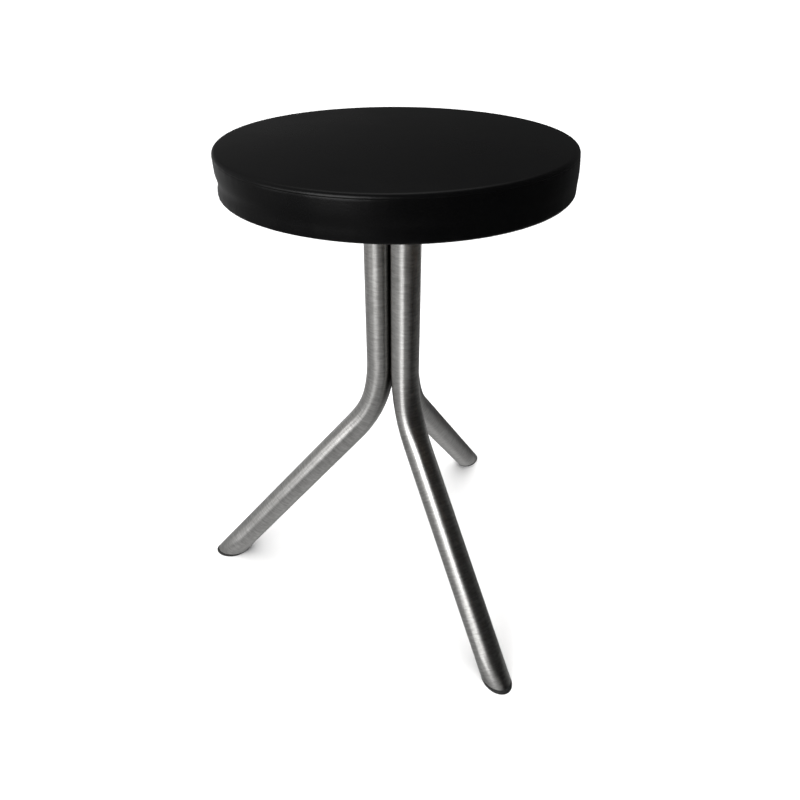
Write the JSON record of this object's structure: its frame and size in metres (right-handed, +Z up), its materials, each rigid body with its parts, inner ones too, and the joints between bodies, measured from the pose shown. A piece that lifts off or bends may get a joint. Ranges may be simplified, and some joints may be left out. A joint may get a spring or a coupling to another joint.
{
  "type": "bath stool",
  "caption": "Backless round stool: padded leatherette seat bolted to a plate on bundled bent steel tubes that splay out to level plastic glides on the floor.",
  "frame": {"origin": "on the floor, under the middle of the box that the stool stands in; the column axis is 36.2 mm from it along +X", "axes": "+Z up from the floor to the seat; -X along the left leg; +Y towards the rear leg's side"},
  "size_m": [0.3724, 0.388, 0.485],
  "materials": {
    "satin_steel": "satin",
    "weld_steel": "satin",
    "zinc_steel": "satin",
    "staple_wire": "gloss",
    "black_plastic": "matte",
    "plywood": "matte",
    "foam": "matte",
    "leatherette": "satin"
  },
  "bodies": {
    "root": {"leg_tube_left": "satin_steel", "foot_glide_left": "black_plastic", "leg_tube_front": "satin_steel", "foot_glide_front": "black_plastic", "leg_tube_rear": "satin_steel", "foot_glide_rear": "black_plastic", "mounting_plate": "satin_steel", "plate_welds": "weld_steel", "seat_bolts": "zinc_steel", "flat_washers": "zinc_steel", "spring_washers": "zinc_steel", "tee_nuts": "zinc_steel", "cover_staples": "staple_wire", "seat_board": "plywood", "foam_pad": "foam", "cover_top_panel": "leatherette", "cover_side_band": "leatherette"}
  },
  "joints": []
}
